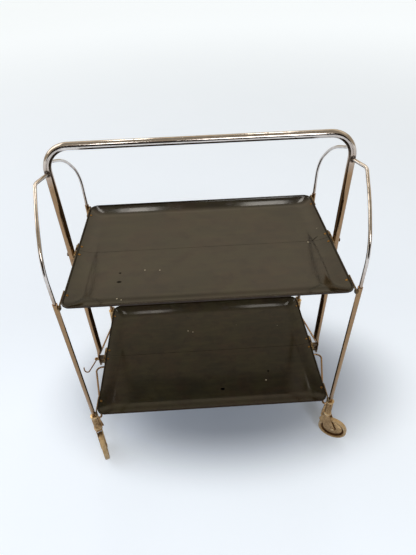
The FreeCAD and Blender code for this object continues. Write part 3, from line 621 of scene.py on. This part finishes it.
def makeHandle():          # one half is drawn up the left shank and along the bar, then mirrored
    sections = list(crossSections())
    height, centre, halfX, halfY = sections[0]
    startFresh()
    bpy.ops.mesh.primitive_circle_add(vertices=handle["sides"], radius=1, location=(-centre, 0, height),
                                      fill_type="NGON")
    tube = bpy.context.object
    tube.scale = (halfX, halfY, 1)
    applyPlace(tube)
    editMesh(tube, "EDGE")
    bpy.ops.mesh.select_all(action="SELECT")
    for before, after in zip(sections, sections[1:]):
        squeezeRing(before, after)
    bendStart = handle["height"] - handle["bend"]
    straight = handle["shank"] - handle["bend"]
    bpy.ops.mesh.extrude_edges_move(TRANSFORM_OT_translate={
        "value": (0, 0, bendStart - handle["taperTop"])})
    bpy.ops.mesh.spin(steps=handle["steps"], angle=math.radians(90), axis=(0, -1, 0),
                      center=(-straight, 0, bendStart))
    bpy.ops.mesh.extrude_edges_move(TRANSFORM_OT_translate={"value": (straight, 0, 0)})
    bpy.ops.object.mode_set(mode="OBJECT")
    mirror = tube.modifiers.new("right", "MIRROR")
    mirror.merge_threshold = handle["mirrorReach"]
    makeActive(tube)
    bpy.ops.object.modifier_apply(modifier=mirror.name)
    editMesh(tube, "VERT")
    bpy.ops.mesh.select_all(action="SELECT")
    bpy.ops.mesh.remove_doubles(threshold=meshRules["weld"])
    closeMesh()
    return tube


tube = makeHandle()
tube.name = "handleTube"
for side in (-1, 1):          # drilled holes that the stay rods point into
    drill = discAt(handle["hole"], (side * handle["shank"], 0, handle["holeHeight"]), handle["drill"],
                   sides=handle["drillSides"])
    combine(tube, drill, "DIFFERENCE")
smoothBy(tube, handle["smooth"])
dress(tube, "tube")
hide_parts("handle_tube")
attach(tube, "frame")
print("handle tube made")


keptShapes = (          # node ending, material key, record slot, edge rounding in metres
    ("_stay", "rod", "chrome_rod", 0.0),
    ("_link", "leg", "chrome_rod", 0.0),
    ("_leg", "leg", "chrome_rod", 0.0004),
    ("_studs", "pin", "steel_pin", 0.0003),
    ("_lugs", "zinc", "plated_sheet", 0.0004),
    ("_brackets", "zinc", "plated_sheet", 0.0004),
    ("hook_ear", "zinc", "plated_sheet", 0.0003),
    ("storage_hook", "rod", "chrome_rod", 0.0),
    ("shank_rivets", "brass", "steel_pin", 0.0004),
    ("bracket_spacers", "pin", "steel_pin", 0.0),
    ("leaf_pivot_pins", "brass", "steel_pin", 0.0003),
)
bodyOf = {node: body for body, members in frame["record"]["behaviour"]["bodies"].items() for node in members}


def camelName(nodeName):
    first, *others = nodeName.split("_")
    return first + "".join(word.capitalize() for word in others)


for ending, key, slotName, edge in keptShapes:          # rods and plates that keep their machined shape
    for nodeName in sorted(nodes):
        if nodeName.endswith(ending):
            piece = mergedCopy(nodeName, camelName(nodeName), edge)
            dress(piece, key)
            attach(piece, bodyOf[nodeName])
print("rods and plates made")


rivet = {
    "head": 0.0032, "dome": 0.0013, "domeAngles": (20, 40, 60, 78), "shank": 0.002, "sheet": 0.0012,
    "lug": 0.0018, "tail": ((0.0010, 0.0016), (0.0009, 0.0023), (0.0005, 0.0027), (0.0, 0.0027)),
    "rows": (0.015, 0.150), "share": 0.85, "sides": 24, "smooth": 45,
}


def makeRivet():          # domed head above, flat tail below, drawn with the sheet's underside at zero
    sheet, lug = rivet["sheet"], rivet["lug"]
    rings = [(-lug - below, radius) for below, radius in rivet["tail"]]
    rings += [(-lug, rivet["shank"]), (sheet, rivet["shank"]), (sheet, rivet["head"])]
    for degrees in rivet["domeAngles"]:
        turn = math.radians(degrees)
        rings.append((sheet + rivet["dome"] * math.sin(turn), rivet["head"] * math.cos(turn)))
    return turned("rivetPattern", rings, rivet["sides"])


rivetPattern = makeRivet()
outset, rise = dishPoint(rivet["share"], 0.0)
lean = rimLean(rivet["share"])
for leafName in leaves:
    base = trayBases[leafName.split("_")[0]]
    side = -1 if leafName.endswith("front") else 1
    made = []
    for end in (-1, 1):
        for y in rivet["rows"]:
            seat = Matrix.Translation((end * (trayShape["floor"][0] + outset), side * y, base + rise))
            made.append(moved(copyPiece(rivetPattern, "rivet"), seat @ Matrix.Rotation(-end * lean, 4, "Y")))
    group = joinPieces(made, camelName(leafName + "_rivets"))
    smoothBy(group, rivet["smooth"])
    dress(group, "brass")
    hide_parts(leafName + "_rivets")
    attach(group, leafName)
bpy.data.objects.remove(rivetPattern)
print("rivets made")


socket = {
    "radius": 0.009, "bottom": 0.096, "top": 0.143, "ring": 0.00975, "bore": 0.00505, "boreFoot": 0.124,
    "stemBore": 0.0042, "chamfer": 0.0006, "ribs": 8, "rib": 0.0005, "ribFoot": 0.004, "ribHead": 0.006,
    "ribShape": ((0.1, 0), (0.3, 1), (0.7, 1), (0.9, 0)),          # shares of the pitch, and of the depth
    "ringFoot": 0.0042,          # below the top, as are the rolled ring's (distance down, distance in)
    "rolled": ((0.0036, 0.0002), (0.0026, 0.0), (0.0014, 0.0), (0.0004, 0.0005), (0.0, 0.0014)),
    "rubbedFrom": 0.0037, "grimeShare": 0.7, "outerFrom": 0.006,
    "finReach": 0.015, "finTop": 0.139, "fin": 0.003, "finOverlap": 0.002, "sides": 48, "smooth": 40,
}


def makeSocket():          # ribbed sleeve with a rolled ring at the top and a web on its inner side
    low, high, radius, bore = socket["bottom"], socket["top"], socket["radius"], socket["bore"]
    rings = [(low, socket["stemBore"]), (low, radius - socket["chamfer"]), (low + socket["chamfer"], radius)]
    start, end = low + socket["ribFoot"], high - socket["ribHead"]
    pitch = (end - start) / socket["ribs"]
    rings += [(start + (i + share) * pitch, radius - deep * socket["rib"])
              for i in range(socket["ribs"]) for share, deep in socket["ribShape"]]
    rings += [(high - socket["ringFoot"], radius)]
    rings += [(high - down, socket["ring"] - inward) for down, inward in socket["rolled"]]
    rings += [(high, bore), (socket["boreFoot"], bore), (socket["boreFoot"], socket["stemBore"]), rings[0]]
    sleeve = turned("socketPattern", rings, socket["sides"], closed=True)
    dress(sleeve, "caster")
    # painted shade: the rib grooves get the dark finish
    groove = radius - socket["grimeShare"] * socket["rib"]
    dressFaces(sleeve, "soiled", lambda centre: start < centre.z < end
               and socket["outerFrom"] < centre.xy.length < groove)
    # the top ring is lighter: rubbed brass with a painted highlight
    dressFaces(sleeve, "polished", lambda centre: centre.z > high - socket["rubbedFrom"]
               and centre.xy.length > bore)
    reach = socket["finReach"] - radius
    middleHeight = (low + socket["finTop"]) / 2
    fin = blockAt((-(radius + socket["finReach"]) / 2, 0, middleHeight),
                  (reach + socket["finOverlap"], socket["fin"], socket["finTop"] - low))
    editMesh(fin, "VERT")
    pick("verts", lambda vert: vert.co.z > middleHeight and vert.co.x < -radius)
    bpy.ops.transform.translate(value=(reach, 0, 0))
    bpy.ops.object.mode_set(mode="OBJECT")
    roundEdges(fin, socket["chamfer"])
    dress(fin, "caster")
    return joinPieces([sleeve, fin], "socketPattern")


socketPattern = makeSocket()
for corner in corners:
    place = joints[corner + "_swivel"]["pos_m"]
    facing = Matrix.Diagonal((1 if place[0] > 0 else -1, 1, 1, 1))
    piece = copyPiece(socketPattern, camelName(corner + "_socket"))
    moved(piece, Matrix.Translation((place[0], place[1], 0)) @ facing)
    editMesh(piece, "FACE")
    closeMesh()
    smoothBy(piece, socket["smooth"])
    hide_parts(corner + "_socket")
    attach(piece, corner + "_leg_body")
bpy.data.objects.remove(socketPattern)
print("sockets made")


# casters are drawn with the swivel axis on Z and the wheel trailing along +X
caster = {
    "wheel": 0.036, "trail": 0.022, "axle": 0.003, "armFace": 0.0063, "arm": 0.0016, "armEdge": 0.0004,
    "axleHead": 0.005, "headHeight": 0.0015, "headAngles": (25, 50, 72, 84), "smooth": 40,
    "stem": 0.004, "stemFoot": ((0.0015, 0.0045), (0.0012, 0.005), (0.0, 0.005)),
    "stemTop": ((0.1205, 0.004), (0.121, 0.0035)), "collar": 0.0105, "collarTop": 0.0957,
    "collarEdge": 0.0014, "roll": (0.09245, 0.0030, 0.0012), "rollAngles": (-60, -30, 0, 30, 60),
    "rubbedFrom": (0.0020, 0.008),          # above the crown, and out from the stem
    "crownTop": 0.0892, "crownBottom": 0.0852, "crownEdge": 0.0006, "stemDrill": 0.02,
    "petal": 0.015, "petalHeight": 0.067, "boss": 0.0075, "neck": 0.0085, "neckOverlap": 0.002,
    "border": 0.0023, "recess": 0.0006, "recessSlope": 0.0006,
    "sides": {"wheel": 64, "tread": 72, "axle": 32, "stem": 40},
}
wheelFace = (          # (height, radius): hub, raised web, deep groove and rolled seat for the tread
    (0.0060, 0.00305), (0.0060, 0.0055), (0.0054, 0.0068), (0.0030, 0.0078), (0.0022, 0.0100),
    (0.0026, 0.0160), (0.0024, 0.0215), (0.0012, 0.0245), (0.0010, 0.0262), (0.0022, 0.0280),
    (0.0040, 0.0290), (0.0046, 0.0300), (0.0042, 0.0315),
)
wheelGrooves = ((0.0074, 0.0098), (0.0232, 0.0290))          # radii of the grooves, painted dark as the shade that falls in them
treadFace = (
    (0.0042, 0.0315), (0.0055, 0.0311), (0.0058, 0.0321), (0.0058, 0.0340), (0.0054, 0.0350),
    (0.0046, 0.0357), (0.0036, 0.0360),
)
saddle = {"x": -0.0102, "thickness": 0.0014, "foot": 0.0545, "overlap": 0.001, "edge": 0.0005}
alongAxle = Matrix.Translation((caster["trail"], 0, caster["wheel"])) @ Matrix.Rotation(-math.pi / 2, 4, "X")


def twoFaced(name, face, sides):          # a ring that is alike on both faces
    rings = [*face, *((-height, radius) for height, radius in reversed(face)), face[0]]
    return turned(name, rings, sides, closed=True)


def makeWheel():
    wheel = twoFaced("wheelPattern", wheelFace, caster["sides"]["wheel"])
    dress(wheel, "caster")
    # painted shade in the groove by the hub and the groove under the tread
    dressFaces(wheel, "soiled", lambda centre: any(
        inner < centre.xy.length < outer for inner, outer in wheelGrooves))
    return moved(wheel, alongAxle)


def makeTread():
    tread = twoFaced("treadPattern", treadFace, caster["sides"]["tread"])
    dress(tread, "rubber")
    return moved(tread, alongAxle)


def makeAxle():          # rivet axle with a domed head outside each arm
    reach = caster["armFace"] + caster["arm"] - caster["recess"]
    half = [(0.0, caster["axle"]), (reach, caster["axle"]), (reach, caster["axleHead"])]
    for degrees in caster["headAngles"]:
        turn = math.radians(degrees)
        half.append((reach + caster["headHeight"] * math.sin(turn), caster["axleHead"] * math.cos(turn)))
    rings = [(-height, radius) for height, radius in reversed(half)] + half[1:]
    axle = turned("axlePattern", rings, caster["sides"]["axle"])
    # the axle heads are lighter brass as a painted highlight
    dress(axle, "polished")
    return moved(axle, alongAxle)


def makeStem():          # swivel stem with a rolled collar ring above the fork
    low, high, radius = caster["crownBottom"], caster["crownTop"], caster["stem"]
    rollHeight, halfHeight, bulge = caster["roll"]
    side = caster["collar"] - bulge
    rings = [(low - below, wide) for below, wide in caster["stemFoot"]]
    rings += [(low, radius), (high, radius), (high, side)]
    for degrees in caster["rollAngles"]:
        turn = math.radians(degrees)
        rings.append((rollHeight + halfHeight * math.sin(turn), side + bulge * math.cos(turn)))
    rings += [(caster["collarTop"], caster["collar"] - caster["collarEdge"]), (caster["collarTop"], radius)]
    rings += caster["stemTop"]
    stem = turned("stemPattern", rings, caster["sides"]["stem"])
    dress(stem, "caster")
    # the collar ring is lighter: rubbed brass with a painted highlight
    above, outside = caster["rubbedFrom"]
    dressFaces(stem, "polished", lambda centre: centre.z > high + above and centre.xy.length > outside)
    return stem


def makeArm(side):          # petal plate: hull of a broad top, a neck and the boss, with a pressed panel
    level = side * (caster["armFace"] + caster["arm"] / 2)
    low, high = caster["petalHeight"], caster["crownBottom"]
    neck = blockAt((0, level, (low + high) / 2),
                   (2 * caster["neck"], caster["arm"], high - low + caster["neckOverlap"]))
    petal = discAt(caster["petal"], (0, level, low), caster["arm"])
    boss = discAt(caster["boss"], (caster["trail"], level, caster["wheel"]), caster["arm"])
    arm = joinPieces([neck, petal, boss], "arm")
    editMesh(arm, "VERT")
    bpy.ops.mesh.select_all(action="SELECT")
    bpy.ops.mesh.convex_hull()
    bpy.ops.mesh.select_all(action="SELECT")
    bpy.ops.mesh.dissolve_limited(angle_limit=math.radians(meshRules["flat"]))
    pick("faces", lambda face: face.normal.y * side > meshRules["facing"])
    bpy.ops.mesh.bevel(offset=caster["armEdge"], segments=meshRules["roundings"], affect="EDGES")
    pick("faces", lambda face: face.normal.y * side > meshRules["facing"])
    bpy.ops.mesh.inset(thickness=caster["border"], depth=0)
    bpy.ops.mesh.inset(thickness=caster["recessSlope"], depth=-caster["recess"])
    bpy.ops.object.mode_set(mode="OBJECT")
    return arm


def makeSaddle():          # bent plate that closes the fork behind the wheel
    foot, top = saddle["foot"], caster["crownBottom"] + saddle["overlap"]
    plate = blockAt((saddle["x"], 0, (foot + top) / 2),
                    (saddle["thickness"], 2 * caster["armFace"] + caster["arm"], top - foot))
    editMesh(plate, "EDGE")
    pick("edges", lambda edge: max(vert.co.z for vert in edge.verts) < (foot + top) / 2
         and abs(edge.verts[0].co.y - edge.verts[1].co.y) > caster["arm"])
    bpy.ops.mesh.bevel(offset=saddle["edge"], segments=meshRules["roundings"], affect="EDGES")
    bpy.ops.object.mode_set(mode="OBJECT")
    return plate


def makeFork():          # crown plate with two petal arms
    low, high = caster["crownBottom"], caster["crownTop"]
    fork = discAt(caster["collar"], (0, 0, (low + high) / 2), high - low, "Z")
    fork.name = "forkPattern"
    roundEdges(fork, caster["crownEdge"])
    for side in (-1, 1):
        combine(fork, makeArm(side), "UNION")
    combine(fork, makeSaddle(), "UNION")
    combine(fork, discAt(caster["stem"], (0, 0, high), caster["stemDrill"], "Z"), "DIFFERENCE")
    dress(fork, "caster")
    return fork


patterns = {          # each with the record slot of its copies
    "wheel": (makeWheel(), "caster_metal"),
    "tread": (makeTread(), "rubber_tread"),
    "axle": (makeAxle(), "steel_pin"),
    "stem": (makeStem(), "steel_pin"),
    "fork": (makeFork(), "caster_metal"),
}
for corner in corners:
    swivel, roll = joints[corner + "_swivel"]["pos_m"], joints[corner + "_roll"]["pos_m"]
    heading = math.atan2(roll[1] - swivel[1], roll[0] - swivel[0])
    place = Matrix.Translation((swivel[0], swivel[1], 0)) @ Matrix.Rotation(heading, 4, "Z")
    for kind, (pattern, slotName) in patterns.items():
        piece = moved(copyPiece(pattern, camelName(f"{corner}_{kind}")), place)
        smoothBy(piece, caster["smooth"])
        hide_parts(f"{corner}_{kind}")
        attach(piece, bodyOf[f"{corner}_{kind}"])
for pattern, slotName in patterns.values():
    bpy.data.objects.remove(pattern)
print("casters made")


# the glow is painted light for the viewer: stronger in front than behind, and fading out towards an oval set right
# of the middle, so that the shadow shows only there
paper = {
    "colour": "#c5d3eb", "fibre": "#bfcde5", "grain": (300.0, 0.3, 0.7, 3.0), "fibreShare": 0.3,
    "roughness": 0.5, "size": (60, 60), "glow": "#f8fdff", "glowCentre": (0.06, 0.0),
    "glowOval": (0.46, 0.27), "glowReach": (0.58, 1.3), "glowTurn": (-0.15, 0.40), "glowLevels": (0.57, 0.46),
    "glowDistance": (1.4, 6.0), "glowFar": 0.24,
}


def paperFloor():
    # rolled paper background: matt and pale, with only a trace of fibre, and lifted towards white
    # outside an oval under the trolley, where its shadow gathers
    material = startMaterial("backgroundPaper")
    place = addNode(material, "ShaderNodeTexCoord").outputs["Object"]
    fibre = speckles(material, place, *paper["grain"])
    tint = layered(material, paper["colour"], [(fibre, paper["fibreShare"], paper["fibre"])])
    matt = addNode(material, "ShaderNodeBsdfDiffuse", {"Color": tint, "Roughness": paper["roughness"]})
    path = addNode(material, "ShaderNodeLightPath").outputs
    seen = path["Is Camera Ray"]
    for ray in ("Is Glossy Ray", "Is Transmission Ray"):
        seen = addNode(material, "ShaderNodeMath", {0: seen, 1: path[ray]}, operation="ADD", use_clamp=True)
    (x, y), (halfX, halfY) = paper["glowCentre"], paper["glowOval"]
    fitted = addNode(material, "ShaderNodeMapping", {
        "Vector": place, "Location": (-x / halfX, -y / halfY, 0), "Scale": (1 / halfX, 1 / halfY, 1)})
    around, away = (
        addNode(material, "ShaderNodeVectorMath", {0: vector}, operation="LENGTH")
        for vector in (fitted, place))
    behind = addNode(material, "ShaderNodeSeparateXYZ", {"Vector": place}).outputs["Y"]
    level, clear, far = (
        addNode(material, "ShaderNodeMapRange", {
            "Value": value, "From Min": start, "From Max": end, "To Min": first, "To Max": last},
            interpolation_type="SMOOTHSTEP")
        for value, (start, end), (first, last) in (
            (behind, paper["glowTurn"], paper["glowLevels"]), (around, paper["glowReach"], (0.0, 1.0)),
            (away, paper["glowDistance"], (0.0, paper["glowFar"]))))
    lift = addNode(material, "ShaderNodeMath", {0: level, 1: clear, 2: far}, operation="MULTIPLY_ADD")
    strength = addNode(material, "ShaderNodeMath", {0: seen, 1: lift}, operation="MULTIPLY")
    glow = addNode(material, "ShaderNodeEmission", {"Color": paper["glow"], "Strength": strength})
    both = addNode(material, "ShaderNodeAddShader", {0: matt, 1: glow})
    addNode(material, "ShaderNodeOutputMaterial", {"Surface": both})
    return material


flagFrame = {
    "cloth": "#1c1511", "thread": "#2a211b", "weave": (40.0, 0.3, 0.7, 3.0), "roughness": 0.95,
    "place": (0, -2.3, 1.15), "size": (5.0, 2.1),
}


def flagCloth():
    # matt cloth on a frame, as hung in a studio to give bright metal its dark lines
    material = startMaterial("flagCloth")
    place = addNode(material, "ShaderNodeTexCoord").outputs["Object"]
    weave = speckles(material, place, *flagFrame["weave"])
    tint = layered(material, flagFrame["cloth"], [(weave, 1.0, flagFrame["thread"])])
    return finishMaterial(material, tint, flagFrame["roughness"], 0.0, [])


def stagePlane(name, size, place, turn, material):
    startFresh()
    bpy.ops.mesh.primitive_plane_add(size=1, location=place, rotation=turn)
    plane = bpy.context.object
    plane.name = name
    plane.scale = (*size, 1)
    applyPlace(plane)
    plane.data.materials.append(material)
    return plane


floor = stagePlane("paperFloor", paper["size"], (0, 0, 0), (0, 0, 0), paperFloor())
flag = stagePlane("blackFlag", flagFrame["size"], flagFrame["place"], (math.pi / 2, 0, 0), flagCloth())
flag.visible_camera = False

# pale walls, brightest half way up behind and dimmer in front, under a dim ceiling
room = {          # wallRise and wallTop are sines of elevations, frontToRear the direction's Y
    "walls": "#ffedcf", "wallLight": 1.20, "wallFoot": 0.52, "wallRise": (0.42, 0.62),
    "wallTop": (0.66, 0.89), "frontLight": 0.42, "frontToRear": (-0.3, 0.3),
    "ceiling": "#fff0d8", "ceilingLight": 0.34,
}
world = bpy.data.worlds.new("studioWorld")
bpy.context.scene.world = world
world.use_nodes = True
world.node_tree.nodes.clear()
direction = addNode(world, "ShaderNodeTexCoord").outputs["Generated"]
compass = addNode(world, "ShaderNodeSeparateXYZ", {"Vector": direction}).outputs
rearLight = addNode(world, "ShaderNodeMapRange", {
    "Value": compass["Z"], "From Min": room["wallRise"][0], "From Max": room["wallRise"][1],
    "To Min": room["wallFoot"], "To Max": room["wallLight"]})
wallLight = addNode(world, "ShaderNodeMapRange", {
    "Value": compass["Y"], "From Min": room["frontToRear"][0], "From Max": room["frontToRear"][1],
    "To Min": room["frontLight"], "To Max": rearLight})
wallTop = addNode(world, "ShaderNodeMapRange", {
    "Value": compass["Z"], "From Min": room["wallTop"][0], "From Max": room["wallTop"][1]})
walls = addNode(world, "ShaderNodeBackground", {"Color": room["walls"], "Strength": wallLight})
ceiling = addNode(world, "ShaderNodeBackground", {"Color": room["ceiling"], "Strength": room["ceilingLight"]})
around = addNode(world, "ShaderNodeMixShader", {0: wallTop, 1: walls, 2: ceiling})
addNode(world, "ShaderNodeOutputWorld", {"Surface": around})

softboxes = (          # name, place, point aimed at, size, power, colour
    ("leftSoftbox", (-0.42, 1.02, 2.30), (-0.42, 0.2, 0.3), (0.25, 0.56), 2.5, "#fffaf2"),
    ("rightSoftbox", (0.49, 1.02, 2.30), (0.49, 0.2, 0.3), (0.30, 0.56), 2.6, "#fffaf2"),
    ("frontSoftbox", (0.52, -2.20, 1.80), (0.1, 0.0, 0.7), (0.95, 0.90), 17.0, "#fffdfa"),
    ("bendSoftbox", (-0.72, -2.20, 2.42), (-0.1, 0.0, 0.7), (0.32, 0.80), 5.0, "#fffdfa"),
    ("sideSoftbox", (-2.60, 0.60, 2.60), (0.0, 0.0, 0.3), (2.40, 2.40), 32.0, "#fffaf2"),
)
for name, place, target, size, power, colour in softboxes:
    light = bpy.data.lights.new(name, "AREA")
    light.shape = "RECTANGLE"
    light.size, light.size_y = size
    light.energy = power
    light.color = hexColour(colour)[:3]
    lamp = bpy.data.objects.new(name, light)
    bpy.context.scene.collection.objects.link(lamp)
    lamp.location = place
    lamp.rotation_euler = (Vector(target) - Vector(place)).to_track_quat("-Z", "Y").to_euler()

view = {
    "place": (-0.0180, -0.7903, 1.0685), "pitch": 39.84, "yaw": 1.68, "roll": -2.10,
    "focalPixels": 427.5, "longSidePixels": 555, "sensorWidth": 36, "nearest": 0.05,
}
pitch, yaw, roll = (math.radians(view[key]) for key in ("pitch", "yaw", "roll"))
forward = Vector((math.sin(yaw) * math.cos(pitch), math.cos(yaw) * math.cos(pitch), -math.sin(pitch)))
levelRight = Vector((math.cos(yaw), -math.sin(yaw), 0))
levelUp = levelRight.cross(forward)
right = levelRight * math.cos(roll) + levelUp * math.sin(roll)
up = levelUp * math.cos(roll) - levelRight * math.sin(roll)
cameraData = bpy.data.cameras.new("studioCamera")
cameraData.sensor_width = view["sensorWidth"]
cameraData.sensor_fit = "AUTO"
cameraData.lens = view["focalPixels"] / view["longSidePixels"] * cameraData.sensor_width
cameraData.clip_start = view["nearest"]
camera = bpy.data.objects.new("studioCamera", cameraData)
bpy.context.scene.collection.objects.link(camera)
turn = Matrix((right, up, -forward)).transposed().to_4x4()
camera.matrix_world = Matrix.Translation(view["place"]) @ turn
bpy.context.scene.camera = camera
bpy.context.scene.view_settings.view_transform = "Standard"
print("stage set")
